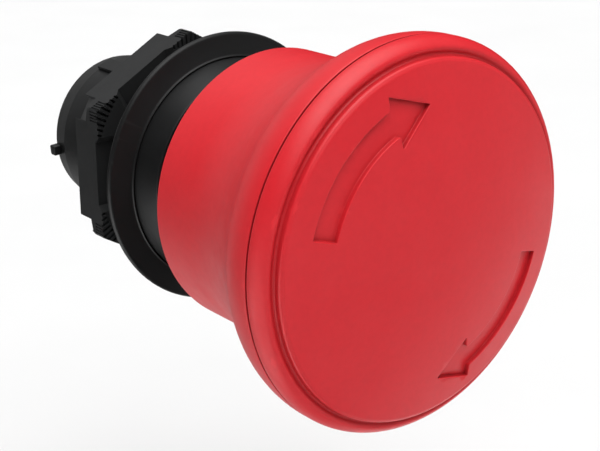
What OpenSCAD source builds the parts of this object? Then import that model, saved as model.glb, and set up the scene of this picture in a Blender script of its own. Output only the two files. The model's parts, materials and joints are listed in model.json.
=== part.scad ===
// Latching emergency stop operator for a 22 mm panel hole: push to latch, turn to release.
// Each piece is drawn along +Z, from the panel's front face towards the operator,
// and facing() then turns the assembly so that the red head looks along -Y with +Z up.

/* [Head] */
// Largest diameter of the red head, at its seam
head_d = 40; // [38:0.5:42]
// Height of the seam above the panel's front face
seam_h = 32.2; // [31.5:0.1:33]
// Diameter of the straight neck
neck_d = 30.5; // [30:0.1:31]
// Distance from the seam back to the neck's open end
neck_l = 21.5; // [20.5:0.1:22]
// Wall of the shell
shell_wall = 1.5; // [1.3:0.1:1.6]
// Diameter of the raised face of the cap
face_d = 36.4; // [36:0.1:36.8]
// Height of the face's edge above the seam
face_h = 2.7; // [2.4:0.1:3]
// Rise of the face from its edge to its centre
face_rise = 1.95; // [1.5:0.05:2.2]

/* [Turn arrows] */
// Mean radius of the arrow shafts
arrow_r = 14.15; // [13.8:0.05:14.3]
// Width of the arrow shafts
arrow_w = 2.5; // [2:0.1:2.8]
// Width across the arrow barbs
arrow_barb_w = 5; // [4.4:0.1:5.2]
// Angle where a shaft begins, counted from +X
arrow_tail_a = 165; // [160:1:170]
// Angle that a shaft sweeps before its barbs
arrow_shaft_sweep = 52.5; // [45:0.5:55]
// Angle from the barbs to the tip
arrow_tip_sweep = 18; // [14:1:20]
// Depth of the recess
arrow_depth = 0.5; // [0.3:0.05:0.6]

/* [Bezel] */
// Largest diameter of the bezel ring
bezel_d = 31.2; // [31:0.1:31.6]
// Diameter of the raised edge on the bezel's front
bezel_edge_d = 26; // [25.8:0.1:26.4]

/* [Barrel] */
// Diameter of the threaded barrel, for a 22.3 mm hole
barrel_d = 22; // [21.9:0.05:22]
// Depth of the threaded length behind the panel face
thread_l = 11; // [10.6:0.1:11.4]
// Diameter of the plain tail that takes the contact carrier
tail_d = 19.6; // [19.4:0.1:19.8]
// Depth of the tail's end behind the panel face
tail_end = 20.7; // [20.6:0.1:21]

/* [Ring nut] */
// Width across the nut's flats
nut_flats = 25.7; // [25.5:0.1:26.5]
// Depth of the nut's rear face behind the panel face
nut_rear = 9.2; // [9:0.1:9.6]
// Grooves cut across the front of each corner
nut_teeth = 9; // [5:1:11]

/* [Travel] */
// Travel of the head from rest to the end of its stroke
press_travel = 6; // [5:0.1:6]
// Travel of each latch slide over the same stroke
latch_travel = 1.4; // [1:0.1:1.4]
// Turn that releases the latch
twist_angle = 45; // [30:1:45]

/* [Hidden] */

$fn = 96;
eps = 0.01;          // overshoot of cutters past a face
slip = 0.05;         // gap between pieces that fit together
run = 0.05;          // radial running clearance of a shaft in its hole
fit = 0.02;          // radial gap of a pin or screw that stays in its hole

red = "#d8303a";
black = "#262728";
white = "#e6e4dc";
steel = "#b9bcc0";
rubber = "#1b1b1c";
zinc = "#5b5f63";

// Head
head_r = head_d / 2;
neck_r = neck_d / 2;
neck_end_h = seam_h - neck_l;
seam_gap = 0.22;     // open line between the cap and the shell
rim_hold = 0.8;      // straight stretch behind the seam
rim_blend_r = 6.5;   // convex curve behind the rim
flare_a = 35;        // steepest angle of the flare
flare_r = (head_r - neck_r) / (1 - cos(flare_a)) - rim_blend_r;
neck_lip_r = 0.3;    // rounding of the neck's open end
cap_seat_r = 18.3;   // where the cap's inner skirt fits the shell
cap_skirt_t = 1.4;
shell_seat_l = 2.6;  // length of the shell's mouth that the skirt fits
web_top_h = 29.6;    // shelf inside the shell that carries the core
web_t = 1.3;
web_w = 3.2;
core_top_h = 31.2;
cap_under_h = 33.2;
rim_round_r = 2.15;  // front rounding of the cap's rim
rim_round_a = 62;    // how far that rounding runs before the groove
face_r = face_d / 2;
face_edge_r = 0.35;  // small rounding on the face's edge
dome_r = (face_r * face_r + face_rise * face_rise) / (2 * face_rise);
dome_top_h = seam_h + face_h + face_rise;
screw_ring_r = 12;   // circle of the three screws that hold the core to the cap
screw_angles = [30, 150, 270];
core_screw_r = 1.25;
core_screw_grip = 0.9;   // depth of thread in the cap beyond its underside

// Stem and head hub
stem_r = 3;
sleeve_r = 4.2;
stem_top_h = 31.3;
plate_t = 0.9;
plate_low_h = stem_top_h + slip;
plate_top_h = plate_low_h + plate_t;
hub_r = 9.4;
hub_floor_t = 1;
pocket_in_r = 5;
pocket_out_r = 8.2;
screw_shank_r = 1.5;
screw_shank_l = 8.2;
stop_pin_r = 0.8;
stop_pin_at_r = 13;
stop_pin_a = 200;

// Latch
carrier_r = 7.2;
carrier_low_h = -2.2;
carrier_top_h = 3.2;
slide_h = 1;
slide_w = 3.2;
slide_t = 1.6;
slide_in_r = 4;
slide_out_r = 7;
slide_spring_seat_l = 1.3;
carrier_pin_h = slide_h - 2.3;
carrier_pin_r = 0.6;
guide_bore_r = 7.9;
shoulder_h = -1.7;   // the slides snap out behind this shoulder of the bore
chamber_r = slide_out_r + latch_travel + 0.4;

// Housing
barrel_r = barrel_d / 2;
tail_r = tail_d / 2;
tail_tip_r = 9.25;
tail_taper_l = 2.9;
tail_bore_r = 8.2;
flange_r = 14.2;
flange_low_h = 0.6;
flange_top_h = 1.7;
front_tube_r = 11.6;
front_tube_top_h = 9.5;
key_w = 3;
key_top_r = 12.7;
key_l = 3;
ring_groove_r = 8.6;
ring_groove_low_h = -20.3;
ring_groove_t = 0.8;

// Seal and end stop
bush_collar_r = 9.6;
bush_collar_t = 1;
retainer_top_h = front_tube_top_h + 2.9;
stop_gap = 0.1;          // left between the hub and the retainer with the head pressed
hub_bottom_h = retainer_top_h + press_travel + stop_gap;

// Rear end of the stem
stem_end_h = -23.2;
stem_groove_h = -21;
seat_low_h = -19.45;
seat_t = 3;
seat_boss_r = 4.6;
seat_boss_l = 1.65;
return_wire_r = 0.45;
return_mean_r = 5.4;
pusher_end_h = -23.6;

// Ring nut
nut_r = nut_flats / 2;
nut_corner_r = nut_r / cos(30);
nut_turned_r = nut_corner_r - 0.1;   // the corners are turned down a little
nut_cut_r = nut_corner_r - 0.85;     // flat across each corner behind its crown
nut_front_h = -5;        // front of the flats
nut_crown_h = -4.3;      // front of the raised corners
nut_crown_low_h = -6.5;  // rear of the raised corners
crown_half_w = 3.65;     // half of the plain front edge between two corners

// ---- outlines -------------------------------------------------------------------------

function arc(centre, r, from, to, steps = 14) =
    [for (i = [0 : steps]) let (a = from + (to - from) * i / steps) centre + r * [cos(a), sin(a)]];

// Flared side of the shell from its rim to its neck, moved inwards by a wall.
function flare(wall) =
    let (rim_centre = [head_r - rim_blend_r, seam_h - rim_hold],
         neck_centre = [neck_r + flare_r, rim_centre[1] - (rim_blend_r + flare_r) * sin(flare_a)])
    concat(arc(rim_centre, rim_blend_r - wall, 0, -flare_a),
           arc(neck_centre, flare_r + wall, 180 - flare_a, 180));

module facing() {
    rotate([90, 0, 0]) children();
}

module ring(r_out, r_in, low_h, high_h) {
    translate([0, 0, low_h])
        difference() {
            cylinder(r = r_out, h = high_h - low_h);
            translate([0, 0, -eps]) cylinder(r = r_in, h = high_h - low_h + 2 * eps);
        }
}

module rod(r, low_h, high_h) {
    translate([0, 0, low_h]) cylinder(r = r, h = high_h - low_h);
}

// Closed tube of round section swept along a helix, with flattened end turns.
module helix(mean_r, wire_r, low_h, high_h, turns, sides = 8, per_turn = 20) {
    steps = turns * per_turn;
    rise = high_h - low_h - 2 * wire_r;
    function level(t) = low_h + wire_r + rise * t;
    points = [for (i = [0 : steps], j = [0 : sides - 1])
        let (turn = i * 360 / per_turn, around = j * 360 / sides)
        [(mean_r + wire_r * cos(around)) * cos(turn),
         (mean_r + wire_r * cos(around)) * sin(turn),
         level(i / steps) + wire_r * sin(around)]];
    walls = [for (i = [0 : steps - 1], j = [0 : sides - 1])
        let (k = (j + 1) % sides)
        [i * sides + j, i * sides + k, (i + 1) * sides + k, (i + 1) * sides + j]];
    first_end = [for (j = [sides - 1 : -1 : 0]) j];
    last_end = [for (j = [0 : sides - 1]) steps * sides + j];
    polyhedron(points, concat([first_end], walls, [last_end]));
}

// ---- head -----------------------------------------------------------------------------

module at_core_screws() {
    for (a = screw_angles)
        rotate([0, 0, a]) translate([screw_ring_r, 0, 0]) children();
}

module at_stop_pin() {
    rotate([0, 0, stop_pin_a]) translate([stop_pin_at_r, 0, 0]) children();
}

module arrow_outline() {
    barbs_a = arrow_tail_a - arrow_shaft_sweep;
    tip_a = barbs_a - arrow_tip_sweep;
    barb_lean = 1.5;     // angle by which the barbs lean back
    tip_out = 0.15;      // how far outside the shaft's mean radius the tip lies
    in_r = arrow_r - arrow_w / 2;
    out_r = arrow_r + arrow_w / 2;
    barb_in_r = arrow_r - arrow_barb_w / 2;
    barb_out_r = arrow_r + arrow_barb_w / 2;
    polygon(concat(
        arc([0, 0], out_r, arrow_tail_a, barbs_a, 24),
        [barb_out_r * [cos(barbs_a - barb_lean), sin(barbs_a - barb_lean)]],
        [(arrow_r + tip_out) * [cos(tip_a), sin(tip_a)]],
        [barb_in_r * [cos(barbs_a + barb_lean), sin(barbs_a + barb_lean)]],
        arc([0, 0], in_r, barbs_a, arrow_tail_a, 24)));
}

module arrow_recesses() {
    floor_r = dome_r - arrow_depth;
    for (half = [0, 180])
        rotate([0, 0, half])
            difference() {
                translate([0, 0, cap_under_h])
                    linear_extrude(dome_top_h - cap_under_h + 1) arrow_outline();
                translate([0, 0, dome_top_h - dome_r]) sphere(r = floor_r, $fn = 180);
            }
}

module cap_section() {
    rim_centre = [head_r - rim_round_r, seam_h + seam_gap / 2];
    groove_floor_h = seam_h + 1.75;
    edge_centre = [face_r - face_edge_r, seam_h + face_h - face_edge_r];
    skirt_in_r = cap_seat_r - cap_skirt_t;
    polygon(concat(
        [[0, cap_under_h], [skirt_in_r, cap_under_h], [skirt_in_r, core_top_h + slip],
         [cap_seat_r, core_top_h + slip], [cap_seat_r, seam_h + seam_gap / 2]],
        arc(rim_centre, rim_round_r, 0, rim_round_a),
        [[face_r + 0.35, groove_floor_h], [face_r, groove_floor_h + 0.2]],
        arc(edge_centre, face_edge_r, 0, 80, 6),
        [[0, seam_h + face_h]]));
}

module dome() {
    intersection() {
        translate([0, 0, dome_top_h - dome_r]) sphere(r = dome_r, $fn = 180);
        rod(face_r - face_edge_r * (1 - cos(80)) - 0.02, seam_h + face_h - 0.1, dome_top_h + 1);
    }
}

module head_cap() {
    boss_r = 2.4;
    color(red) facing()
        difference() {
            union() {
                rotate_extrude($fn = 180) cap_section();
                dome();
                at_core_screws() rod(boss_r, core_top_h + slip, cap_under_h + eps);
            }
            arrow_recesses();
            at_core_screws() rod(core_screw_r + fit, core_top_h, cap_under_h + core_screw_grip + fit);
        }
}

module head_shell() {
    seam_low_h = seam_h - seam_gap / 2;
    lip_centre = [neck_r - neck_lip_r, neck_end_h + neck_lip_r];
    inner_r = neck_r - shell_wall;
    color(red) facing() {
        rotate_extrude($fn = 180)
            polygon(concat(
                [[cap_seat_r + slip, seam_low_h], [head_r, seam_low_h]],
                flare(0),
                arc(lip_centre, neck_lip_r, 0, -90, 5),
                [[inner_r, neck_end_h]],
                [for (i = [len(flare(shell_wall)) - 1 : -1 : 0]) flare(shell_wall)[i]],
                [[cap_seat_r + slip, seam_h - shell_seat_l]]));
        ring(cap_seat_r + eps, cap_seat_r - web_w, web_top_h - web_t, web_top_h);
    }
}

module head_core() {
    stop_slack = 7;     // angle beyond the pin's centre at each end of its slot
    slot_play = 0.3;
    screw_play = 0.1;
    color(white) facing()
        difference() {
            union() {
                rod(cap_seat_r - 0.6, web_top_h + slip, core_top_h);
                rod(hub_r, hub_bottom_h, core_top_h);
            }
            rod(sleeve_r + slip, hub_bottom_h - eps, core_top_h + eps);
            difference() {
                rod(pocket_out_r, hub_bottom_h + hub_floor_t, core_top_h + eps);
                rod(pocket_in_r, hub_bottom_h, core_top_h + 2 * eps);
            }
            at_core_screws() rod(core_screw_r + screw_play, web_top_h, core_top_h + eps);
            translate([0, 0, web_top_h])
                rotate([0, 0, stop_pin_a - stop_slack])
                    rotate_extrude(angle = twist_angle + 2 * stop_slack)
                        translate([stop_pin_at_r - stop_pin_r - slot_play, 0])
                            square([2 * (stop_pin_r + slot_play), core_top_h - web_top_h + eps]);
        }
}

module core_screws() {
    screw_head_r = 2.1;
    screw_head_t = 1.4;
    drive_r = 0.8;
    drive_depth = 0.7;
    head_low_h = web_top_h - screw_head_t;
    color(steel) facing()
        at_core_screws()
            difference() {
                union() {
                    rod(screw_head_r, head_low_h, web_top_h);
                    rod(core_screw_r, web_top_h - eps, cap_under_h + core_screw_grip);
                }
                translate([0, 0, head_low_h - eps]) cylinder(r = drive_r, h = drive_depth, $fn = 6);
            }
}

module release_sleeve() {
    finger_w = 2.4;
    finger_t = 0.8;
    cam_r = 5.6;
    low_h = carrier_top_h - 0.9;
    root = 0.4;
    color(white) facing() {
        ring(sleeve_r, stem_r + run, low_h, core_top_h);
        for (a = [90, 270])
            rotate([0, 0, a])
                translate([sleeve_r - root, -finger_w / 2, low_h])
                    cube([cam_r - sleeve_r + root, finger_w, finger_t]);
    }
}

module twist_spring() {
    spring_gap = 0.1;
    color(steel) facing()
        helix(mean_r = (pocket_in_r + pocket_out_r) / 2, wire_r = 0.4,
              low_h = hub_bottom_h + hub_floor_t + spring_gap, high_h = core_top_h - spring_gap, turns = 6);
}

module stop_plate() {
    arm_w = 4;
    plate_r = 8.6;
    bore_r = screw_shank_r + 0.1;
    color(steel) facing()
        difference() {
            union() {
                rod(plate_r, plate_low_h, plate_top_h);
                rotate([0, 0, stop_pin_a])
                    translate([0, -arm_w / 2, plate_low_h])
                        cube([stop_pin_at_r, arm_w, plate_t]);
                at_stop_pin() rod(arm_w / 2, plate_low_h, plate_top_h);
            }
            rod(bore_r, plate_low_h - eps, plate_top_h + eps);
            at_stop_pin() rod(stop_pin_r + fit, plate_low_h - eps, plate_top_h + eps);
        }
}

module stop_pin() {
    color(steel) facing()
        at_stop_pin() rod(stop_pin_r, web_top_h + 0.2, plate_top_h);
}

module head_screw() {
    screw_head_r = 2.8;
    drive_r = 1.3;
    drive_depth = 0.5;
    low_h = plate_top_h + fit;
    top_h = cap_under_h - 0.12;
    color(steel) facing()
        difference() {
            union() {
                rod(screw_head_r, low_h, top_h);
                rod(screw_shank_r, low_h - screw_shank_l, low_h + eps);
            }
            translate([0, 0, top_h - drive_depth]) cylinder(r = drive_r, h = 1, $fn = 6);
        }
}

// ---- stem and latch -------------------------------------------------------------------

// Rod across the assembly through the stem and the latch carrier.
module cross_rod(r, l) {
    translate([-l / 2, 0, carrier_pin_h]) rotate([0, 90, 0]) cylinder(r = r, h = l);
}

module stem() {
    groove_depth = 0.5;
    groove_w = 0.7;
    bore_l = screw_shank_l + 0.5;
    color(steel) facing()
        difference() {
            rod(stem_r, stem_end_h, stem_top_h);
            rod(screw_shank_r + fit, stem_top_h - bore_l, stem_top_h + eps);
            ring(stem_r + 1, stem_r - groove_depth, stem_groove_h - groove_w / 2, stem_groove_h + groove_w / 2);
            cross_rod(carrier_pin_r + fit, 2 * stem_r + 1);
        }
}

module latch_carrier() {
    cam_pocket_r = 5.9;
    cam_pocket_depth = 1.05;
    slot_in_r = slide_in_r - 0.9;
    color(zinc) facing()
        difference() {
            rod(carrier_r, carrier_low_h, carrier_top_h);
            rod(stem_r + fit, carrier_low_h - eps, carrier_top_h + eps);
            rod(cam_pocket_r, carrier_top_h - cam_pocket_depth, carrier_top_h + eps);
            for (side = [0, 180])
                rotate([0, 0, side])
                    translate([slot_in_r, -slide_w / 2 - slip, slide_h - slide_t / 2 - slip])
                        cube([carrier_r, slide_w + 2 * slip, slide_t + 2 * slip]);
            cross_rod(carrier_pin_r + fit, 2 * carrier_r + 1);
        }
}

module carrier_pin() {
    color(steel) facing() cross_rod(carrier_pin_r, 2 * carrier_r - 0.4);
}

// A flat slide with two round pockets for its springs and a sloping nose.
module latch_slide() {
    nose = 0.5;
    pocket_r = 0.5;
    low_h = slide_h - slide_t / 2;
    translate([0, slide_w / 2, 0]) rotate([90, 0, 0])
        difference() {
            linear_extrude(slide_w)
                polygon([[slide_in_r, low_h], [slide_out_r - nose, low_h], [slide_out_r, low_h + nose],
                         [slide_out_r, low_h + slide_t], [slide_in_r, low_h + slide_t]]);
            for (z = [slide_w / 4, slide_w * 3 / 4])
                translate([slide_in_r - eps, slide_h, z]) rotate([0, 90, 0])
                    cylinder(r = pocket_r, h = slide_spring_seat_l);
        }
}

module latch_slide_right() {
    color(steel) facing() latch_slide();
}

module latch_slide_left() {
    color(steel) facing() rotate([0, 0, 180]) latch_slide();
}

module latch_springs() {
    color(steel) facing()
        for (side = [0, 180], across = [-slide_w / 4, slide_w / 4])
            rotate([0, 0, side])
                translate([0, across, slide_h]) rotate([0, 90, 0])
                    helix(mean_r = 0.32, wire_r = 0.09, low_h = slide_in_r - 0.8,
                          high_h = slide_in_r + slide_spring_seat_l - 0.1,
                          turns = 4, sides = 4, per_turn = 8);
}

module return_spring() {
    color(steel) facing()
        helix(mean_r = return_mean_r, wire_r = return_wire_r, low_h = seat_low_h + seat_t + slip,
              high_h = carrier_low_h - 0.1, turns = 6);
}

module tail_clip() {
    clip_r = 4.6;
    clip_t = 0.55;
    mouth_w = 2.4;
    color(steel) facing()
        difference() {
            ring(clip_r, stem_r - 0.45, stem_groove_h - clip_t / 2, stem_groove_h + clip_t / 2);
            translate([0, -mouth_w / 2, stem_groove_h - clip_t]) cube([clip_r + 1, mouth_w, 2 * clip_t]);
        }
}

// Cup pressed on the stem's end, which works the contacts.
module pusher() {
    cup_r = 4.4;
    cup_top_h = -21.5;
    rim_r = 5.2;
    rim_t = 0.8;
    color(white) facing()
        difference() {
            union() {
                rod(cup_r, pusher_end_h, cup_top_h);
                rod(rim_r, pusher_end_h, pusher_end_h + rim_t);
            }
            rod(stem_r + fit, stem_end_h, cup_top_h + eps);
        }
}

// ---- housing --------------------------------------------------------------------------

module housing() {
    lug_a = 185.5;
    lug_w = 1.2;
    lug_top_r = 10.35;
    lug_low_h = -tail_end + 0.3;
    lug_l = 1.1;
    rib_a = 112;
    rib_w = 2;
    rib_top_r = 10.6;
    rib_l = 6.6;
    root = 1.2;        // depth of the lugs and ribs in the tail's wall
    tip_chamfer = 0.25;
    thread_chamfer = 0.6;
    chamber_l = 0.5;   // length of barrel in front of the tail's wider bore
    color(black) facing()
        difference() {
            union() {
                rotate_extrude()
                    polygon([[0, -tail_end], [tail_tip_r - tip_chamfer, -tail_end],
                             [tail_tip_r, -tail_end + tip_chamfer],
                             [tail_r, -tail_end + tail_taper_l], [tail_r, -thread_l],
                             [barrel_r - thread_chamfer, -thread_l], [barrel_r, -thread_l + thread_chamfer],
                             [barrel_r, flange_low_h], [flange_r, flange_low_h], [flange_r, flange_top_h],
                             [front_tube_r, flange_top_h], [front_tube_r, front_tube_top_h],
                             [0, front_tube_top_h]]);
                // locating key for the notch of the panel hole
                translate([-key_w / 2, 0, -key_l]) cube([key_w, key_top_r, key_l + flange_low_h + eps]);
                // bayonet lugs and index ribs for the contact carrier
                for (turn = [0, 180]) {
                    rotate([0, 0, lug_a + turn])
                        translate([tail_r - root, -lug_w / 2, lug_low_h])
                            cube([lug_top_r - tail_r + root, lug_w, lug_l]);
                    rotate([0, 0, rib_a + turn])
                        translate([tail_r - root, -rib_w / 2, -thread_l - rib_l])
                            cube([rib_top_r - tail_r + root, rib_w, rib_l + eps]);
                }
            }
            rod(guide_bore_r, shoulder_h - eps, front_tube_top_h + eps);
            rod(chamber_r, -thread_l + chamber_l, shoulder_h);
            rod(tail_bore_r, -tail_end - eps, -thread_l + chamber_l + eps);
            rod(ring_groove_r, ring_groove_low_h, ring_groove_low_h + ring_groove_t);
        }
}

module bezel_ring() {
    bezel_r = bezel_d / 2;
    edge_r = bezel_edge_d / 2;
    rear_h = 0.45;
    side_h = 1.75;
    front_round_r = 0.45;
    side_lean = 0.3;       // the side narrows towards the panel
    edge_h = 2.95;         // top of the thin raised edge
    edge_bead_r = 0.2;
    collar_top_h = 6.5;
    collar_r = 12.35;
    collar_chamfer = 0.3;
    bore_r = front_tube_r + slip;
    notch_from_a = 130;
    notch_sweep = 18.5;
    notch_t = 0.5;
    color(black) facing()
        difference() {
            rotate_extrude($fn = 180)
                polygon(concat(
                    [[flange_r + slip, rear_h], [bezel_r - front_round_r - side_lean, rear_h]],
                    arc([bezel_r - front_round_r, side_h], front_round_r, -20, 75, 8),
                    arc([edge_r, edge_h - edge_bead_r], edge_bead_r, 0, 180, 6),
                    [[collar_r, collar_top_h - collar_chamfer], [collar_r - collar_chamfer, collar_top_h],
                     [bore_r, collar_top_h], [bore_r, flange_top_h + slip],
                     [flange_r + slip, flange_top_h + slip]]));
            translate([0, 0, rear_h - eps])
                rotate([0, 0, notch_from_a])
                    rotate_extrude(angle = notch_sweep)
                        translate([flange_r + 0.35, 0]) square([3, notch_t]);
        }
}

module panel_gasket() {
    key_play = 0.1;
    color(rubber) facing()
        difference() {
            ring(flange_r - 0.2, barrel_r + 0.1, 0, flange_low_h - fit);
            translate([-key_w / 2 - key_play, 0, -eps])
                cube([key_w + 2 * key_play, key_top_r + key_play, flange_low_h + 1]);
        }
}

// Turned step of one closed outline, so that its two diameters are one piece.
module guide_bush() {
    bore_r = sleeve_r + run;
    low_h = carrier_top_h + 0.1;
    collar_low_h = front_tube_top_h + fit;
    collar_top_h = front_tube_top_h + bush_collar_t;
    color(white) facing()
        rotate_extrude()
            polygon([[bore_r, low_h], [guide_bore_r - fit, low_h], [guide_bore_r - fit, collar_low_h],
                     [bush_collar_r, collar_low_h], [bush_collar_r, collar_top_h], [bore_r, collar_top_h]]);
}

module lip_seal() {
    low_h = front_tube_top_h + bush_collar_t + fit;
    disc_r = bush_collar_r - 0.4;
    disc_t = 0.9;
    lip_root_r = 6.4;
    lip_r = sleeve_r + 0.1;
    lip_top_h = low_h + 1.6;
    lip_t = 0.4;
    color(rubber) facing()
        rotate_extrude()
            polygon([[lip_r, lip_top_h - 0.5], [lip_r + 0.5, low_h], [disc_r, low_h], [disc_r, low_h + disc_t],
                     [lip_root_r, low_h + disc_t], [lip_r + lip_t, lip_top_h], [lip_r, lip_top_h]]);
}

// Cap with a hole for the sleeve, pressed over the seal on the front tube.
module seal_retainer() {
    outer_r = 11.4;
    skirt_in_r = bush_collar_r + 0.1;
    hole_r = 6.6;
    lid_t = 0.9;
    color(zinc) facing() {
        ring(outer_r, skirt_in_r, front_tube_top_h + slip, retainer_top_h);
        ring(outer_r, hole_r, retainer_top_h - lid_t, retainer_top_h);
    }
}

module spring_seat() {
    color(white) facing()
        difference() {
            union() {
                rod(tail_bore_r - slip, seat_low_h, seat_low_h + seat_t);
                rod(seat_boss_r, seat_low_h, seat_low_h + seat_t + seat_boss_l);
            }
            rod(stem_r + run, seat_low_h - eps, seat_low_h + seat_t + seat_boss_l + eps);
        }
}

module snap_ring() {
    ring_in_r = 7.3;
    gap_w = 5;
    low_h = ring_groove_low_h + slip;
    color(steel) facing()
        difference() {
            ring(ring_groove_r - slip, ring_in_r, low_h, ring_groove_low_h + ring_groove_t - slip);
            translate([0, -gap_w / 2, low_h - 1]) cube([ring_groove_r, gap_w, ring_groove_t + 1]);
        }
}

// ---- ring nut -------------------------------------------------------------------------

// Cuts one corner back behind its crown: a flat, and a pocket that slopes in towards the rear.
module nut_corner_cut() {
    rear_h = -nut_rear - eps;
    past_r = nut_corner_r + 1;
    slope_l = 0.4;         // the crown's sloping rear end
    flat_end_h = nut_crown_low_h - slope_l;
    flat_half_w = 2;
    pocket_half_w = 1.35;
    pocket_deep = 0.7;
    translate([0, flat_half_w, 0]) rotate([90, 0, 0])
        linear_extrude(2 * flat_half_w)
            polygon([[nut_cut_r, rear_h], [past_r, rear_h], [past_r, nut_crown_low_h],
                     [nut_turned_r, nut_crown_low_h], [nut_cut_r, flat_end_h]]);
    translate([0, pocket_half_w, 0]) rotate([90, 0, 0])
        linear_extrude(2 * pocket_half_w)
            polygon([[nut_cut_r - pocket_deep, rear_h], [past_r, rear_h], [nut_cut_r, flat_end_h]]);
}

// Lowers the nut's front between two crowns, with sloping ends.
module nut_front_step() {
    rise = nut_crown_h - nut_front_h + eps;
    rotate([90, 0, 90])
        linear_extrude(nut_corner_r)
            polygon([[-crown_half_w, nut_front_h], [crown_half_w, nut_front_h],
                     [crown_half_w + rise, nut_front_h + rise], [-crown_half_w - rise, nut_front_h + rise]]);
}

// Short grooves along one half of a crown's edge.
module nut_edge_grooves() {
    count = 4;
    pitch = 0.34;
    half_w = 0.13;
    deep = 0.12;
    groove_l = 1.6;
    first_s = nut_r * tan(30) - 0.3;
    for (i = [0 : count - 1])
        translate([nut_r, first_s - pitch * i, nut_crown_h - groove_l])
            linear_extrude(groove_l + eps) polygon([[-deep, 0], [eps, -half_w], [eps, half_w]]);
}

// Radial grooves across the front of the crown on the corner at +X.
module nut_front_grooves() {
    rise = nut_crown_h - nut_front_h;
    crown_half_a = 30 - atan((crown_half_w + rise) / nut_r);
    pitch_a = 2 * crown_half_a / nut_teeth;
    inner_r = nut_r + 0.35;
    half_w = 0.17;
    deep = 0.3;
    for (i = [0 : nut_teeth - 1])
        rotate([0, 0, pitch_a * (i + 0.5) - crown_half_a]) translate([inner_r, 0, nut_crown_h])
            rotate([90, 0, 90]) linear_extrude(nut_corner_r - inner_r)
                polygon([[0, -deep], [half_w, eps], [-half_w, eps]]);
}

module ring_nut() {
    color(black) facing()
        difference() {
            intersection() {
                rotate([0, 0, 30]) translate([0, 0, -nut_rear])
                    cylinder(r = nut_corner_r, h = nut_rear + nut_crown_h, $fn = 6);
                rod(nut_turned_r, -nut_rear - eps, 0);
            }
            rod(barrel_r + run, -nut_rear - eps, 0);
            for (a = [0 : 60 : 300])
                rotate([0, 0, a]) {
                    nut_front_step();
                    nut_edge_grooves();
                    mirror([0, 1, 0]) nut_edge_grooves();
                    rotate([0, 0, 30]) nut_corner_cut();
                    rotate([0, 0, 30]) nut_front_grooves();
                }
        }
}

head_cap();
head_shell();
head_core();
core_screws();
release_sleeve();
twist_spring();
stop_plate();
stop_pin();
head_screw();
stem();
latch_carrier();
carrier_pin();
latch_slide_left();
latch_slide_right();
latch_springs();
return_spring();
tail_clip();
pusher();
housing();
bezel_ring();
panel_gasket();
guide_bush();
lip_seal();
seal_retainer();
spring_seat();
snap_ring();
ring_nut();
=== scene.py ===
"""Looks of a latching emergency stop operator: red mushroom head, black bezel, barrel and ring nut.

The operator's axis is world Y. Outlines below are drawn as (radius, height) in millimetres, where the
height is measured from the panel's front face towards the operator, which is world -Y.
"""

import json
import math

import bmesh
import bpy
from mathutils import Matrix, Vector, geometry


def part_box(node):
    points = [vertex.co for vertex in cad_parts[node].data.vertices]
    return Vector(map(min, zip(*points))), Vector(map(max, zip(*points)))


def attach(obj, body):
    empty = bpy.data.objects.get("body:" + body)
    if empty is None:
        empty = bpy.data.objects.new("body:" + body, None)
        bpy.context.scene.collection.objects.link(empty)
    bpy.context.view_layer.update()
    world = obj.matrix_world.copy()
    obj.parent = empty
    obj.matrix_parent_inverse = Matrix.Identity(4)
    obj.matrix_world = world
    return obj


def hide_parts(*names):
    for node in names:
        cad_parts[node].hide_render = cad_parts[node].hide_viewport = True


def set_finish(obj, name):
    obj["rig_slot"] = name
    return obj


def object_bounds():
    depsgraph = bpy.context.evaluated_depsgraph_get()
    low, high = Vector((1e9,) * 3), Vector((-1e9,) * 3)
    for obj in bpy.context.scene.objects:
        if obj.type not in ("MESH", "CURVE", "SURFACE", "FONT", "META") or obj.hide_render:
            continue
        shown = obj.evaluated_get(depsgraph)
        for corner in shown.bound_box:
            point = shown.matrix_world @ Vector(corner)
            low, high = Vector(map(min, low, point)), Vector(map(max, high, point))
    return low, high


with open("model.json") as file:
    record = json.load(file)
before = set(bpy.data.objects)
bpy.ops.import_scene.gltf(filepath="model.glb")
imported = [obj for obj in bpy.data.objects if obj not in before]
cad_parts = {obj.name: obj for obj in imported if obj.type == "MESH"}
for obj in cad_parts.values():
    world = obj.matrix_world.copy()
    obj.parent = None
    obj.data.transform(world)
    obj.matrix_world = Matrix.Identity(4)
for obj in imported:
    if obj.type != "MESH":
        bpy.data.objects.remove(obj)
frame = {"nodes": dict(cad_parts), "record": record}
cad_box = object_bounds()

MM = 0.001


def front(node):
    """Height of a CAD node's front end, in millimetres."""
    return -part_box(node)[0].y / MM


def rear(node):
    """Height of a CAD node's rear end, in millimetres."""
    return -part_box(node)[1].y / MM


def radius(node):
    """Largest radius of a CAD node about the axis, from its width, in millimetres."""
    low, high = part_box(node)
    return (high.x - low.x) / 2 / MM


# ---- sizes, from the frame where it holds them -------------------------------------------

HEAD_R = radius("head_cap")
NECK_END_H = rear("head_shell")
SHELL_FRONT_H = front("head_shell")
DOME_TOP_H = front("head_cap")
BEZEL_R = radius("bezel_ring")
BEZEL_REAR_H = rear("bezel_ring")
COLLAR_TOP_H = front("bezel_ring")
BARREL_R = 11.0
TAIL_END_H = rear("housing")
TUBE_TOP_H = front("housing")

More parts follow.
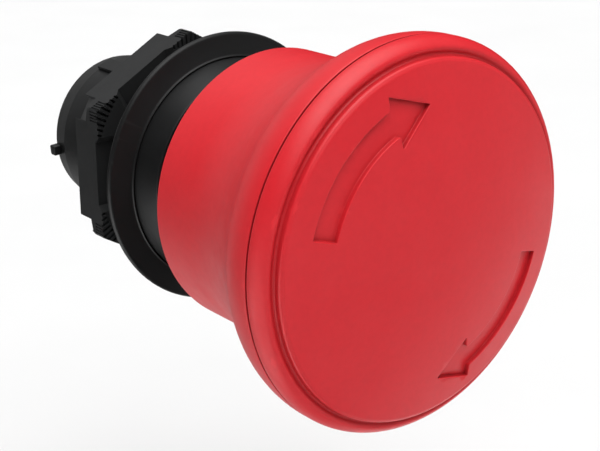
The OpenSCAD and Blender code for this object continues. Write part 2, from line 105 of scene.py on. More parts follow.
SEAM_GAP = 0.22
SEAM_H = SHELL_FRONT_H + SEAM_GAP / 2
NECK_R = 15.25
SHELL_WALL = 1.5
RIM_HOLD = 0.8              # straight part of the shell's side behind the seam
RIM_BLEND_R = 6.5           # rounding from there into the flare
FLARE_A = math.radians(35)  # steepest slope of the flare
FLARE_R = (HEAD_R - NECK_R) / (1 - math.cos(FLARE_A)) - RIM_BLEND_R
CAP_SEAT_R = 18.3
FACE_R = 18.2
FACE_H = 2.7                # height of the face's edge above the seam
FACE_RISE = DOME_TOP_H - SEAM_H - FACE_H
DOME_R = (FACE_R**2 + FACE_RISE**2) / (2 * FACE_RISE)


# ---- camera --------------------------------------------------------------------------------

CAMERA_AZIMUTH = -39.24     # degrees from -Y towards +X
CAMERA_ELEVATION = 19.49
CAMERA_DISTANCE = 140.0 * MM
CAMERA_LENS = 78.5
AIM_BEHIND_SEAM = 16.83     # the camera looks at a point on the axis this far behind the seam
AIM_DROP = 3.16             # and this far below it in the picture


def direction(azimuth, elevation):
    """Unit vector towards an azimuth, counted from -Y towards +X, and an elevation, in degrees."""
    a, e = math.radians(azimuth), math.radians(elevation)
    return Vector((math.sin(a) * math.cos(e), -math.cos(a) * math.cos(e), math.sin(e)))


def make_camera():
    """Camera at the photograph's angle, aimed behind the seam."""
    back = direction(CAMERA_AZIMUTH, CAMERA_ELEVATION)
    turn = (-back).to_track_quat("-Z", "Y")
    up = turn @ Vector((0, 1, 0))
    aim = Vector((0, -(SEAM_H - AIM_BEHIND_SEAM) * MM, 0)) - up * AIM_DROP * MM
    data = bpy.data.cameras.new("camera")
    data.lens = CAMERA_LENS
    data.sensor_width = 36
    data.clip_start = 0.005
    data.clip_end = 20
    camera = bpy.data.objects.new("camera", data)
    camera.rotation_mode = "QUATERNION"
    camera.rotation_quaternion = turn
    camera.location = aim + back * CAMERA_DISTANCE
    bpy.context.scene.collection.objects.link(camera)
    bpy.context.scene.camera = camera


make_camera()


# ---- outlines ------------------------------------------------------------------------------

def place(r, angle, h):
    """World point at a radius, an angle about the axis in radians, and a height above the panel."""
    return Vector((r * math.cos(angle), -h, r * math.sin(angle))) * MM


def polar(centre, r, angle):
    """Point of an outline at a distance from a centre, at an angle in degrees."""
    a = math.radians(angle)
    return (centre[0] + r * math.cos(a), centre[1] + r * math.sin(a))


def arc(centre, r, start, end, steps):
    """Points on an arc of an outline, angles in degrees."""
    return [polar(centre, r, start + (end - start) * i / steps) for i in range(steps + 1)]


def rounded(corners, steps):
    """Closed outline from corners (x, y) or (x, y, rounding), each rounding turned into a small arc."""
    straight = math.radians(88)
    outline = []
    for i, corner in enumerate(corners):
        here = Vector(corner[:2])
        rounding = corner[2] if len(corner) > 2 else 0
        before = Vector(corners[i - 1][:2]) - here
        after = Vector(corners[(i + 1) % len(corners)][:2]) - here
        half = before.angle(after) / 2
        if rounding <= 0 or half > straight:
            outline.append(tuple(here))
            continue
        before.normalize()
        after.normalize()
        reach = rounding / math.tan(half)
        centre = here + (before + after).normalized() * rounding / math.sin(half)
        first = here + before * reach - centre
        last = here + after * reach - centre
        for k in range(steps + 1):
            outline.append(tuple(centre + first.slerp(last, k / steps).normalized() * rounding))
    return outline


# ---- meshes: a shape is a pair of lists, its vertices and its faces ------------------------

def swept(rings, closed_section=True):
    """Shape of a closed tube: each ring is the section at one angle, a list of points."""
    section = len(rings[0])
    vertices = [point for ring in rings for point in ring]
    faces = []
    for i in range(len(rings)):
        j = (i + 1) % len(rings)
        for k in range(section if closed_section else section - 1):
            n = (k + 1) % section
            faces.append((i * section + k, i * section + n, j * section + n, j * section + k))
    return vertices, faces


def lathe(outline, columns, change=None, closed_section=True):
    """Shape of an outline turned about the axis. change(r, h, angle) may move a point."""
    rings = []
    for i in range(columns):
        angle = 2 * math.pi * i / columns
        ring = []
        for r, h in outline:
            if change:
                r, h = change(r, h, angle)
            ring.append(place(r, angle, h))
        rings.append(ring)
    return swept(rings, closed_section)


def joined(*shapes):
    """Several shapes as one."""
    vertices, faces = [], []
    for more_vertices, more_faces in shapes:
        base = len(vertices)
        vertices += more_vertices
        faces += [[base + i for i in face] for face in more_faces]
    return vertices, faces


def welded(vertices, faces):
    """Shape with the vertices at the same place joined and all faces turned outwards."""
    mesh = bmesh.new()
    made = [mesh.verts.new(v) for v in vertices]
    for face in faces:
        if len(set(face)) > 2:
            mesh.faces.new([made[i] for i in face])
    bmesh.ops.remove_doubles(mesh, verts=mesh.verts, dist=2e-6)
    bmesh.ops.recalc_face_normals(mesh, faces=mesh.faces)
    mesh.verts.index_update()
    shape = ([v.co.copy() for v in mesh.verts], [[v.index for v in f.verts] for f in mesh.faces])
    mesh.free()
    return shape


def new_piece(name, shape, body, slot, node, sharp=35):
    """Piece on a body in place of a CAD node, with smooth faces split only at edges of sharp degrees."""
    vertices, faces = welded(*shape)
    mesh = bpy.data.meshes.new(name)
    mesh.from_pydata(vertices, [], faces)
    mesh.validate()
    mesh.polygons.foreach_set("use_smooth", [True] * len(mesh.polygons))
    mesh.set_sharp_from_angle(angle=math.radians(sharp))
    piece = bpy.data.objects.new(name, mesh)
    bpy.context.scene.collection.objects.link(piece)
    weighted = piece.modifiers.new("weighted_normals", "WEIGHTED_NORMAL")
    weighted.keep_sharp = True
    weighted.weight = 80
    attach(piece, body)
    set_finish(piece, slot)
    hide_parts(node)
    return piece


# ---- head: the two arrows ------------------------------------------------------------------

ARROW_TURNS = (0, 180)
ARROW_R = 14.15             # radius of the shaft's middle
ARROW_W = 2.5
ARROW_BARB_W = 5.0
ARROW_TAIL = 165            # angle of the shaft's tail, in degrees
ARROW_SHAFT = 52.5          # angle that the shaft takes up
ARROW_TIP = 18              # angle from the barbs to the tip
ARROW_LEAN = 1.5            # angle by which the barbs lean back outside and forward inside
ARROW_TIP_OUT = 0.15
ARROW_DEPTH = 0.5
ARROW_CORNER = 0.09         # rounding of the arrow's outer corners
ARROW_INNER_CORNER = 0.25   # rounding where its shaft meets its barbs
SHAFT_STEPS = 36
LIP = 0.07                  # rounding of the recess's upper edge
LIP_MARGIN = 0.05           # width of the first strip of face around that rounding
FOOT = 0.06                 # rounding at the foot of its wall
LIP_STEPS = 3


def arrow_outline(turn):
    """Outline of a turn arrow with rounded corners, as points in millimetres."""
    barbs = ARROW_TAIL - ARROW_SHAFT
    tip = barbs - ARROW_TIP

    def at(r, angle):
        return polar((0, 0), r, angle + turn)

    def shaft(r, start, end, first_round, last_round):
        points = [at(r, start + (end - start) * i / SHAFT_STEPS) for i in range(SHAFT_STEPS + 1)]
        return [(*points[0], first_round)] + points[1:-1] + [(*points[-1], last_round)]

    outer = shaft(ARROW_R + ARROW_W / 2, ARROW_TAIL, barbs, ARROW_CORNER, ARROW_INNER_CORNER)
    inner = shaft(ARROW_R - ARROW_W / 2, barbs, ARROW_TAIL, ARROW_INNER_CORNER, ARROW_CORNER)
    head = [(*at(ARROW_R + ARROW_BARB_W / 2, barbs - ARROW_LEAN), ARROW_CORNER),
            (*at(ARROW_R + ARROW_TIP_OUT, tip), ARROW_CORNER),
            (*at(ARROW_R - ARROW_BARB_W / 2, barbs + ARROW_LEAN), ARROW_CORNER)]
    return [Vector(p) for p in rounded(outer + head + inner, steps=5)]


def outward_normals(outline):
    """Unit normals of a closed outline that point away from its inside."""
    area = sum(p.cross(outline[(i + 1) % len(outline)]) for i, p in enumerate(outline))
    sign = 1 if area > 0 else -1
    normals = []
    for i in range(len(outline)):
        along = (outline[(i + 1) % len(outline)] - outline[i - 1]).normalized()
        normals.append(Vector((along.y, -along.x)) * sign)
    return normals


def recess_profile():
    """Offsets and depths from the face to the floor of a recess, with a rounded lip and foot."""
    quarter = [math.pi / 2 * k / LIP_STEPS for k in range(LIP_STEPS + 1)]
    lip = [(LIP * (1 - math.sin(a)), LIP * (1 - math.cos(a))) for a in quarter]
    foot = [(-FOOT * (1 - math.cos(a)), ARROW_DEPTH - FOOT * (1 - math.sin(a))) for a in quarter]
    return [(LIP + LIP_MARGIN, 0)] + lip + foot


def recess_rows(outline):
    """A recess's outline at every level of its profile, from the face down to the floor."""
    normals = outward_normals(outline)
    return [[p + n * offset for p, n in zip(outline, normals)] for offset, _ in recess_profile()]


# ---- head: cap and shell -------------------------------------------------------------------

HEAD_COLUMNS = 288
FLARE_STEPS = 24
FACE_TURNED_R = 16.9                    # the face is turned outside this radius, triangulated inside it
FACE_RINGS = (17.1, 17.3, 17.5, 17.7)   # rings of the turned part
FACE_STEP = 0.55                        # distance between the triangulated part's points
FACE_MARGIN = 0.4                       # clear width inside the turned part
MOUTH_MARGIN = 0.3                      # clear width around the recesses
FLOOR_STEP = 0.4                        # the same two for the floors of the recesses
FLOOR_MARGIN = 0.2


def dome(r):
    """Height of the cap's face at a radius."""
    return DOME_TOP_H - DOME_R + math.sqrt(DOME_R**2 - r**2)


def on_face(point, depth=0):
    """World point on the cap's face, or some depth below it, over a point of the face's plan."""
    return place(point.length, math.atan2(point.y, point.x), dome(point.length) - depth)


def inside(point, outline):
    """True if a point lies inside a closed outline."""
    hit = False
    for i, a in enumerate(outline):
        b = outline[i - 1]
        if (a.y > point.y) != (b.y > point.y):
            if point.x < (b.x - a.x) * (point.y - a.y) / (b.y - a.y) + a.x:
                hit = not hit
    return hit


def clear_of(point, loops, gap):
    """True if a point is further than gap from every corner of the loops."""
    return all((point - q).length_squared > gap * gap for loop in loops for q in loop)


def face_grid(step):
    """Points spread evenly over the cap's face, ring by ring."""
    points = [Vector((0, 0))]
    for i in range(1, int(FACE_R / step)):
        count = int(2 * math.pi * i) + 1
        shift = 0.5 * (i % 2)
        for k in range(count):
            a = 2 * math.pi * (k + shift) / count
            points.append(Vector((i * step * math.cos(a), i * step * math.sin(a))))
    return points


def triangulated(loops, loose, depth, keep):
    """Shape of triangles over loops and loose points, at a depth below the face, where keep(middle)."""
    points = [p for loop in loops for p in loop] + loose
    edges = []
    first = 0
    for loop in loops:
        edges += [(first + i, first + (i + 1) % len(loop)) for i in range(len(loop))]
        first += len(loop)
    points, _, triangles, _, _, _ = geometry.delaunay_2d_cdt(points, edges, [], 0, 1e-7)
    faces = [t for t in triangles if keep((points[t[0]] + points[t[1]] + points[t[2]]) / 3)]
    return [on_face(p, depth) for p in points], faces


def cap_turned():
    """Cap outside its face: the face's last rings, the groove, the rim, the seam's wall and the underside."""
    edge_round = 0.35
    rim_round, rim_end = 2.15, 50       # big rounding of the rim, up to this angle
    crest_round, crest_end = 0.5, 130   # small one that carries on into the groove
    mouth = 0.1                         # rounding of the seam's edge
    skirt_h, skirt_t = 31.25, 1.4
    under_h, under_r = 33.2, 0.5
    low_h = SHELL_FRONT_H + SEAM_GAP
    rim = (HEAD_R - rim_round, low_h + mouth)
    crest = polar(rim, rim_round - crest_round, rim_end)
    foot = polar(crest, crest_round, crest_end)
    crest_a = math.radians(crest_end)
    groove_round = (foot[0] - FACE_R) / (1 - math.cos(crest_a))
    groove = (FACE_R + groove_round, foot[1] + groove_round * math.sin(crest_a))
    face_edge = arc((FACE_R - edge_round, SEAM_H + FACE_H - edge_round), edge_round, 80, 0, 7)
    face_edge[0] = (face_edge[0][0], dome(face_edge[0][0]))
    outline = ([(r, dome(r)) for r in (FACE_TURNED_R, *FACE_RINGS)]
               + face_edge
               + arc(groove, groove_round, 180, 180 + crest_end, 9)
               + arc(crest, crest_round, crest_end, rim_end, 5)[1:]
               + arc(rim, rim_round, rim_end, 0, 14)[1:]
               + arc((HEAD_R - mouth, rim[1]), mouth, -20, -90, 3)
               + [(CAP_SEAT_R, low_h), (CAP_SEAT_R, skirt_h), (CAP_SEAT_R - skirt_t, skirt_h),
                  (CAP_SEAT_R - skirt_t, under_h), (under_r, under_h)])
    vertices, faces = lathe(outline, HEAD_COLUMNS, closed_section=False)
    underside = [(i + 1) * len(outline) - 1 for i in range(HEAD_COLUMNS)]
    return vertices, [*faces, underside]


def cap_face(mouths):
    """Cap's domed face inside its turned part, with openings for the recesses."""
    circle = [Vector(polar((0, 0), FACE_TURNED_R, 360 * i / HEAD_COLUMNS)) for i in range(HEAD_COLUMNS)]

    def outside(point):
        return not any(inside(point, mouth) for mouth in mouths)

    loose = [p for p in face_grid(FACE_STEP)
             if p.length < FACE_TURNED_R - FACE_MARGIN and clear_of(p, mouths, MOUTH_MARGIN) and outside(p)]
    return triangulated([circle, *mouths], loose, 0, outside)


def recess_walls(rows):
    """Walls of one recess."""
    count = len(rows[0])
    vertices = []
    for row, (_, depth) in zip(rows, recess_profile()):
        vertices += [on_face(p, depth) for p in row]
    faces = []
    for level in range(len(rows) - 1):
        upper = level * count
        lower = upper + count
        for i in range(count):
            n = (i + 1) % count
            faces.append((upper + i, upper + n, lower + n, lower + i))
    return vertices, faces


def recess_floor(edge):
    """Floor of one recess, parallel to the face."""
    loose = [p for p in face_grid(FLOOR_STEP) if inside(p, edge) and clear_of(p, [edge], FLOOR_MARGIN)]
    return triangulated([edge], loose, ARROW_DEPTH, lambda middle: inside(middle, edge))


def make_cap():
    """Cap: a turned rim and underside, and a domed face with the two arrows sunk in it."""
    recesses = [recess_rows(arrow_outline(turn)) for turn in ARROW_TURNS]
    shapes = [cap_turned(), cap_face([rows[0] for rows in recesses])]
    for rows in recesses:
        shapes += [recess_walls(rows), recess_floor(rows[-1])]
    return new_piece("cap", joined(*shapes), "head", "red_plastic", "head_cap", sharp=50)


def flare(wall):
    """Side of the shell from its rim to its neck, moved inwards by a wall."""
    rim = (HEAD_R - RIM_BLEND_R, SEAM_H - RIM_HOLD)
    neck = (NECK_R + FLARE_R, rim[1] - (RIM_BLEND_R + FLARE_R) * math.sin(FLARE_A))
    angle = math.degrees(FLARE_A)
    return (arc(rim, RIM_BLEND_R - wall, 0, -angle, FLARE_STEPS)
            + arc(neck, FLARE_R + wall, 180 - angle, 180, FLARE_STEPS))


def make_shell():
    """Flared shell of the head, with its seat for the cap, its inner wall and the shelf for the core."""
    lip = 0.3
    mouth = 0.1
    seat_r = CAP_SEAT_R + 0.05
    shelf_top_h = 29.6
    shelf_low_h = shelf_top_h - 1.3
    shelf_in_r = 15.1
    below_shelf = [p for p in reversed(flare(SHELL_WALL)) if p[1] < shelf_low_h]
    outline = ([(seat_r, SHELL_FRONT_H)]
               + arc((HEAD_R - mouth, SHELL_FRONT_H - mouth), mouth, 90, 0, 3)
               + flare(0)
               + arc((NECK_R - lip, NECK_END_H + lip), lip, 0, -90, 5)
               + arc((NECK_R - SHELL_WALL + lip, NECK_END_H + lip), lip, -90, -180, 4)
               + below_shelf
               + [(below_shelf[-1][0], shelf_low_h), (shelf_in_r, shelf_low_h),
                  (shelf_in_r, shelf_top_h), (seat_r, shelf_top_h)])
    return new_piece("shell", lathe(outline, HEAD_COLUMNS), "head", "red_plastic", "head_shell")


cap = make_cap()
shell = make_shell()


# ---- bezel ---------------------------------------------------------------------------------

BEZEL_COLUMNS = 720
NOTCH_START = 130           # angle about the axis at which the notch in the bezel's rear starts, in degrees
NOTCH_SWEEP = 18.5
NOTCH_IN_R = 14.57
NOTCH_T = 0.5


def bezel_notch(r, h, angle):
    """Lifts the bezel's rear face within the notch."""
    turned = (math.degrees(angle) - NOTCH_START) % 360
    if r > NOTCH_IN_R and h < BEZEL_REAR_H + NOTCH_T and turned < NOTCH_SWEEP:
        h = BEZEL_REAR_H + NOTCH_T
    return r, h


def make_bezel():
    """Bezel ring: leaning side with a rounded edge, sloping front, thin raised edge and collar."""
    side_h = 1.75
    side_round = 0.45
    rear_round = 0.12
    rear_r = BEZEL_R - side_round - 0.3 - rear_round
    notch_wall = 0.02       # half the width of the notch's inner wall
    edge_r = 13.0
    edge_h = 2.95
    bead = 0.1
    bead_h = edge_h - bead
    collar_r = 12.35
    collar_round = 0.25
    bore_r = 11.65
    bore_round = 0.15
    flange_r = 14.25
    flange_h = 1.75
    outline = ([(flange_r, BEZEL_REAR_H), (NOTCH_IN_R - notch_wall, BEZEL_REAR_H),
                (NOTCH_IN_R + notch_wall, BEZEL_REAR_H)]
               + arc((rear_r, BEZEL_REAR_H + rear_round), rear_round, -90, -10, 3)
               + arc((BEZEL_R - side_round, side_h), side_round, -12, 75, 10)
               + [(edge_r + bead + 0.16, bead_h - 0.11), (edge_r + bead + 0.03, bead_h - 0.03)]
               + arc((edge_r, bead_h), bead, 10, 175, 8)
               + [(edge_r - bead - 0.02, bead_h - 0.04)]
               + arc((collar_r - collar_round, COLLAR_TOP_H - collar_round), collar_round, 10, 90, 4)
               + arc((bore_r + bore_round, COLLAR_TOP_H - bore_round), bore_round, 90, 180, 3)
               + [(bore_r, flange_h), (flange_r, flange_h)])
    shape = lathe(outline, BEZEL_COLUMNS, bezel_notch)
    return new_piece("bezel", shape, "housing", "black_plastic", "bezel_ring")


# ---- barrel and tail -----------------------------------------------------------------------

BARREL_COLUMNS = 240
THREAD_L = 11.0
THREAD_PITCH = 1.5
THREAD_DEPTH = 0.42
THREAD_ROWS = 10            # rows of points in one pitch
THREAD_CREST = 0.14         # half width of the crest, as a share of the pitch
THREAD_FLANK = 0.22         # width of a flank, as a share of the pitch
THREAD_PLAIN_L = 0.9        # plain length behind the flange
THREAD_FADE_L = 0.5         # length over which the thread reaches its full depth
THREAD_CHAMFER = 0.6        # chamfer at the barrel's rear end


def share(value):
    """Value kept between 0 and 1."""
    return min(1, max(0, value))


def thread_r(h, angle):
    """Radius of the barrel's trapezoidal thread at a height and angle, run out at both ends."""
    phase = (h / THREAD_PITCH + angle / (2 * math.pi)) % 1
    flank = share((abs(phase - 0.5) - THREAD_CREST) / THREAD_FLANK)
    fade = share((-h - THREAD_PLAIN_L) / THREAD_FADE_L)
    chamfer = max(0, THREAD_CHAMFER - (h + THREAD_L))
    return min(BARREL_R - THREAD_DEPTH * flank * fade, BARREL_R - chamfer)


def barrel_thread(r, h, angle):
    """Cuts the thread into the barrel's side."""
    if r == BARREL_R and -THREAD_L <= h < 0:
        r = thread_r(h, angle)
    return r, h


def block(angle, width, r_in, r_out, low, high, bevel):
    """Bevelled block that stands out of the barrel at an angle about the axis, in degrees."""
    axis = math.radians(angle)
    out = Vector((math.cos(axis), 0, math.sin(axis)))
    side = Vector((-math.sin(axis), 0, math.cos(axis)))
    levels = [(0, r_in), (0, r_out - bevel), (bevel * 0.3, r_out - bevel * 0.3), (bevel, r_out)]
    vertices, faces = [], []
    for inset, r in levels:
        half, start, end = width / 2 - inset, low + inset, high - inset
        section = rounded([(-half, start, bevel), (half, start, bevel),
                           (half, end, bevel), (-half, end, bevel)], steps=3)
        vertices += [(out * r + side * s + Vector((0, -h, 0))) * MM for s, h in section]
    count = len(vertices) // len(levels)
    top = len(vertices) - count
    for base in range(0, top, count):
        for i in range(count):
            n = (i + 1) % count
            faces.append((base + i, base + n, base + count + n, base + count + i))
    faces.append(list(range(count))[::-1])
    faces.append(list(range(top, top + count)))
    return vertices, faces


def housing_turned():
    """Housing without its blocks: tail, threaded barrel, flange, front tube and bore."""
    tip_round = 0.22
    tip_r = 9.25
    tail_r = 9.8
    shoulder_round = 1.2
    taper_l = 2.9
    step = 0.05             # barrel's rear face over the tail
    flange_r = 14.2
    flange_low_h, flange_top_h = 0.6, 1.7
    tube_r, tube_round = 11.6, 0.2
    guide_r = 7.9
    chamber_r = 8.8
    chamber_top_h = -1.7
    chamber_low_h = -THREAD_L + 0.5
    bore_r, bore_round = 8.2, 0.15
    groove_r = 8.6
    groove_low_h = -20.3
    groove_top_h = groove_low_h + 0.8
    rows = int(THREAD_L / THREAD_PITCH * THREAD_ROWS)
    thread = [(BARREL_R, -THREAD_L + THREAD_L * i / rows) for i in range(rows + 1)]
    outline = (arc((bore_r + bore_round, TAIL_END_H + bore_round), bore_round, 180, 270, 3)
               + arc((tip_r - tip_round, TAIL_END_H + tip_round), tip_round, -90, 0, 4)
               + arc((tail_r - shoulder_round, TAIL_END_H + taper_l + 0.1), shoulder_round, 8, 0, 3)
               + [(tail_r, -THREAD_L - step), (tail_r + step, -THREAD_L)]
               + thread
               + [(BARREL_R, flange_low_h), (flange_r, flange_low_h), (flange_r, flange_top_h),
                  (tube_r, flange_top_h)]
               + arc((tube_r - tube_round, TUBE_TOP_H - tube_round), tube_round, 0, 90, 3)
               + [(guide_r, TUBE_TOP_H), (guide_r, chamber_top_h), (chamber_r, chamber_top_h),
                  (chamber_r, chamber_low_h), (bore_r, chamber_low_h),
                  (bore_r, groove_top_h), (groove_r, groove_top_h),
                  (groove_r, groove_low_h), (bore_r, groove_low_h)])
    return lathe(outline, BARREL_COLUMNS, barrel_thread)


def make_housing():
    """Housing: the turned body, two lugs and two ribs on its tail, and the key for the panel's notch."""
    buried_r = 9.0
    lug_low_h = TAIL_END_H + 0.3
    shapes = [housing_turned()]
    for turn in (0, 180):
        shapes.append(block(angle=185.5 + turn, width=1.2, r_in=buried_r, r_out=10.35,
                            low=lug_low_h, high=lug_low_h + 1.1, bevel=0.14))
        shapes.append(block(angle=112 + turn, width=2.0, r_in=buried_r, r_out=10.25,
                            low=-THREAD_L - 6.6, high=-THREAD_L + 0.3, bevel=0.12))
    shapes.append(block(angle=90, width=3, r_in=10, r_out=12.7, low=-3, high=0.9, bevel=0.2))
    return new_piece("barrel", joined(*shapes), "housing", "black_plastic", "housing")


bezel = make_bezel()
barrel = make_housing()


# ---- carried-over CAD nodes ----------------------------------------------------------------

REPLACED = {"head_cap", "head_shell", "bezel_ring", "housing"}

EDGE_WIDTHS = {
    "ring_nut": 0.06,
    "panel_gasket": 0.12,
    "spring_seat": 0.15,
    "pusher": 0.15,
    "snap_ring": 0.06,
    "tail_clip": 0.06,
    "stem": 0.12,
    "seal_retainer": 0.12,
    "guide_bush": 0.1,
    "head_core": 0.15,
    "latch_carrier": 0.12,
}


def soften(node, width):
    """Small bevels on a CAD node's edges, by modifiers that leave its own mesh as it is."""
    piece = frame["nodes"][node]
    weld = piece.modifiers.new("weld", "WELD")
    weld.merge_threshold = 1e-6
    bevel = piece.modifiers.new("bevel", "BEVEL")
    bevel.limit_method = "ANGLE"
    bevel.angle_limit = math.radians(40)
    bevel.width = width * MM
    bevel.segments = 2
    weighted = piece.modifiers.new("weighted_normals", "WEIGHTED_NORMAL")
    weighted.keep_sharp = True


for node, width in EDGE_WIDTHS.items():
    soften(node, width)


# ---- materials -----------------------------------------------------------------------------

class NodeTree:
    """Small helper that adds nodes to the tree of a material or of the world."""

    def __init__(self, owner):
        owner.use_nodes = True
        self.nodes = owner.node_tree.nodes
        self.links = owner.node_tree.links

    def feed(self, socket, value):
        """Links another node's output to a socket, or sets the socket's own value; a colour has 3 numbers."""
        if isinstance(value, bpy.types.NodeSocket):
            self.links.new(value, socket)
        elif socket.type == "RGBA":
            socket.default_value = (*value, 1)
        else:
            socket.default_value = value

    def node(self, kind, inputs, **settings):
        """New node with its settings made and its inputs fed."""
        made = self.nodes.new(kind)
        for key, value in settings.items():
            setattr(made, key, value)
        for key, value in inputs.items():
            self.feed(made.inputs[key], value)
        return made


class Shader(NodeTree):
    """New material with a principled surface, and the patterns that the finishes use."""

    def __init__(self, name):
        self.material = bpy.data.materials.new(name)
        super().__init__(self.material)
        self.surface = self.nodes["Principled BSDF"]
        self.coordinates = self.node("ShaderNodeTexCoord", {}).outputs["Object"]

    def set(self, name, value):
        """Feeds an input of the surface."""
        self.feed(self.surface.inputs[name], value)

    def noise(self, size, detail=2.0, roughness=0.5):
        """Noise whose features are size millimetres across."""
        return self.node("ShaderNodeTexNoise", {"Vector": self.coordinates, "Scale": 1 / (size * MM),
                                                "Detail": detail, "Roughness": roughness}).outputs["Fac"]

    def ramp(self, value, low, high, start=0.0, end=1.0):
        """Value mapped from start..end to low..high."""
        return self.node("ShaderNodeMapRange", {"Value": value, "From Min": start, "From Max": end,
                                                "To Min": low, "To Max": high}).outputs["Result"]

    def blend(self, factor, first, second):
        """Colour between two colours."""
        return self.node("ShaderNodeMix", {"Factor": factor, "A": first, "B": second},
                         data_type="RGBA").outputs["Result"]

    def edges(self):
        """1 on convex edges and 0 elsewhere."""
        pointiness = self.node("ShaderNodeNewGeometry", {}).outputs["Pointiness"]
        return self.ramp(pointiness, 0, 1, start=0.52, end=0.60)

    def painted_crevice_shade(self):
        """Mask for painted shade: 1 in narrow gaps and recesses, where ambient occlusion finds little open
        sky, 0 on open faces.
        """
        reach = 1.4 * MM
        open_sky = self.node("ShaderNodeAmbientOcclusion", {"Distance": reach}, samples=8).outputs["AO"]
        return self.ramp(open_sky, 1, 0, start=0.3, end=0.95)

    def bump(self, layers):
        """Bumps from (height socket, strength, depth in millimetres)."""
        normal = None
        for height, strength, depth in layers:
            inputs = {"Height": height, "Strength": strength, "Distance": depth * MM}
            if normal is not None:
                inputs["Normal"] = normal
            normal = self.node("ShaderNodeBump", inputs).outputs["Normal"]
        self.set("Normal", normal)


def dimmed(colour, factor):
    """Colour with its brightness multiplied."""
    return tuple(c * factor for c in colour)


def plastic(name, colour, light, rough, grain, grain_size=0.12, specular=0.5):
    """Satin moulded plastic: faint cloudy colour, fine grain, slightly worn edges, and painted shade that
    darkens gaps and recesses.
    """
    s = Shader(name)
    cloud = s.noise(6, 3)
    mottle = s.noise(0.7, 4, 0.6)
    worn = tuple(min(1, c * 1.25 + 0.01) for c in light)
    tone = s.blend(s.ramp(cloud, 0, 0.5, 0.35, 0.65), colour, light)
    tone = s.blend(s.ramp(mottle, 0, 0.22, 0.4, 0.7), tone, dimmed(colour, 0.82))
    tone = s.blend(s.ramp(s.edges(), 0, 0.35), tone, worn)
    # Painted shade: the colour darkens to a third in gaps and recesses, where ambient occlusion finds little
    # open sky.
    tone = s.blend(s.ramp(s.painted_crevice_shade(), 0, 0.75), tone, dimmed(colour, 0.35))
    s.set("Base Color", tone)
    s.set("Roughness", s.ramp(s.noise(2.5, 4, 0.6), rough - 0.04, rough + 0.05, 0.3, 0.7))
    s.set("Specular IOR Level", specular)
    s.bump([(s.noise(grain_size, 2, 0.7), grain, 0.02), (s.noise(9, 1), 0.05, 0.12)])
    return s.material


def metal(name, colour, dark, rough, stretch):
    """Plated, drawn or cast metal with fine lines across it and a few darker stains."""
    s = Shader(name)
    lines = s.node("ShaderNodeMapping", {"Vector": s.coordinates, "Scale": (1, stretch, 1)}).outputs["Vector"]
    fine = s.node("ShaderNodeTexNoise", {"Vector": lines, "Scale": 4000.0, "Detail": 3.0}).outputs["Fac"]
    stain = s.noise(1.6, 4, 0.6)
    s.set("Base Color", s.blend(s.ramp(stain, 0, 0.6, 0.45, 0.75), colour, dark))
    s.set("Metallic", 1.0)
    s.set("Roughness", s.ramp(fine, rough - 0.08, rough + 0.1, 0.3, 0.7))
    s.bump([(fine, 0.25, 0.01), (s.noise(0.5, 3), 0.1, 0.02)])
    return s.material


FINISHES = {
    "red_plastic": plastic("red_plastic_satin", (0.78, 0.020, 0.030), (0.81, 0.026, 0.036),
                           rough=0.40, grain=0.18, specular=0.4),
    "black_plastic": plastic("black_plastic_satin", (0.010, 0.0102, 0.0105), (0.014, 0.0143, 0.0146),
                             rough=0.42, grain=0.25, specular=0.25),
    "nut_plastic": plastic("nut_plastic_satin", (0.014, 0.0143, 0.0147), (0.019, 0.0194, 0.0198),
                           rough=0.46, grain=0.4, grain_size=0.18, specular=0.22),
    "black_rubber": plastic("black_rubber_matt", (0.012, 0.012, 0.012), (0.018, 0.018, 0.019),
                            rough=0.75, grain=0.5, grain_size=0.2, specular=0.3),
    "white_plastic": plastic("white_acetal", (0.74, 0.72, 0.66), (0.80, 0.79, 0.74), rough=0.38, grain=0.2),
    "grey_plastic": plastic("grey_plastic_satin", (0.12, 0.125, 0.13), (0.15, 0.155, 0.16),
                            rough=0.45, grain=0.3),
    "zinc_steel": metal("zinc_plated_steel", (0.66, 0.67, 0.69), (0.42, 0.43, 0.46), rough=0.32, stretch=8.0),
    "die_cast": metal("zinc_die_casting", (0.48, 0.49, 0.51), (0.34, 0.35, 0.37), rough=0.48, stretch=1.0),
    "spring_steel": metal("spring_wire", (0.52, 0.52, 0.54), (0.30, 0.30, 0.32), rough=0.30, stretch=2.0),
}

for piece in (cap, shell, bezel, barrel):
    piece.data.materials.append(FINISHES[piece["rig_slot"]])

for part in frame["record"]["subparts"]:
    if part["node"] not in REPLACED:
        for material_slot in frame["nodes"][part["node"]].material_slots:
            material_slot.material = FINISHES[part["material_slot"]]


# ---- floor ---------------------------------------------------------------------------------

FLOOR_HALF_W = 4.0          # in metres
FLOOR_DROP = 45 * MM        # gap from the object's lowest point to the floor


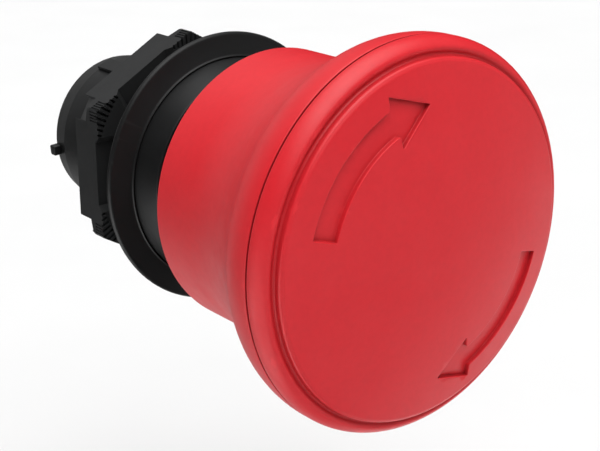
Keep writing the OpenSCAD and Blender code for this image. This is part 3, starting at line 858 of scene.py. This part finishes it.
def make_floor():
    """Wide pale floor. It is opaque from above only, so that views from under it still show the object."""
    level = cad_box[0].z - FLOOR_DROP
    corners = [(-1, -1), (1, -1), (1, 1), (-1, 1)]
    mesh = bpy.data.meshes.new("floor")
    mesh.from_pydata([(x * FLOOR_HALF_W, y * FLOOR_HALF_W, level) for x, y in corners], [], [(0, 1, 2, 3)])
    floor = bpy.data.objects.new("floor", mesh)
    bpy.context.scene.collection.objects.link(floor)
    s = Shader("pale_floor")
    s.set("Base Color", s.blend(s.noise(40, 3), (0.80, 0.80, 0.80), (0.84, 0.84, 0.84)))
    s.set("Roughness", 0.9)
    s.set("Specular IOR Level", 0.1)
    under = s.node("ShaderNodeNewGeometry", {}).outputs["Backfacing"]
    clear = s.node("ShaderNodeBsdfTransparent", {})
    mix = s.node("ShaderNodeMixShader", {0: under, 1: s.surface.outputs[0], 2: clear.outputs[0]})
    s.feed(s.nodes["Material Output"].inputs["Surface"], mix.outputs[0])
    mesh.materials.append(s.material)
    floor.visible_glossy = False


# ---- light ---------------------------------------------------------------------------------

# Soft lights of the room: azimuth and elevation they come from, half their spread in degrees, and brightness.
ROOM_LIGHTS = {
    "overhead": (0, 90, 45, 3.1),
    "key": (-20, 55, 35, 2.3),
    "behind": (180, 20, 45, 0.45),
    "right": (60, 20, 45, 0.32),
    "low_rear": (180, -50, 45, 0.7),
    "low_left": (-90, -40, 40, 4.8),
    "low_right": (90, -40, 40, 1.6),
}


def make_world():
    """Studio room whose walls glow softly from a few sides, behind a plain white backdrop."""
    world = bpy.data.worlds.new("studio")
    bpy.context.scene.world = world
    tree = NodeTree(world)
    way = tree.node("ShaderNodeTexCoord", {}).outputs["Generated"]
    total = None
    for name, (azimuth, elevation, spread, brightness) in ROOM_LIGHTS.items():
        toward = tree.node("ShaderNodeVectorMath", {0: way, 1: direction(azimuth, elevation)},
                           operation="DOT_PRODUCT", name=name)
        edge = math.cos(math.radians(spread))
        glow = tree.node("ShaderNodeMapRange", {"Value": toward.outputs["Value"], "From Min": edge,
                                                "To Max": brightness}, interpolation_type="SMOOTHSTEP")
        light = glow.outputs["Result"]
        total = light if total is None else tree.node("ShaderNodeMath", {0: light, 1: total}).outputs["Value"]
    room = tree.nodes["Background"]
    tree.feed(room.inputs["Color"], (1, 1, 1))
    tree.feed(room.inputs["Strength"], total)
    backdrop = tree.node("ShaderNodeBackground", {"Color": (1, 1, 1)})
    seen = tree.node("ShaderNodeLightPath", {}).outputs["Is Camera Ray"]
    mix = tree.node("ShaderNodeMixShader", {0: seen, 1: room.outputs[0], 2: backdrop.outputs[0]})
    tree.feed(tree.nodes["World Output"].inputs["Surface"], mix.outputs[0])


make_floor()
make_world()
bpy.context.scene.view_settings.view_transform = "Standard"
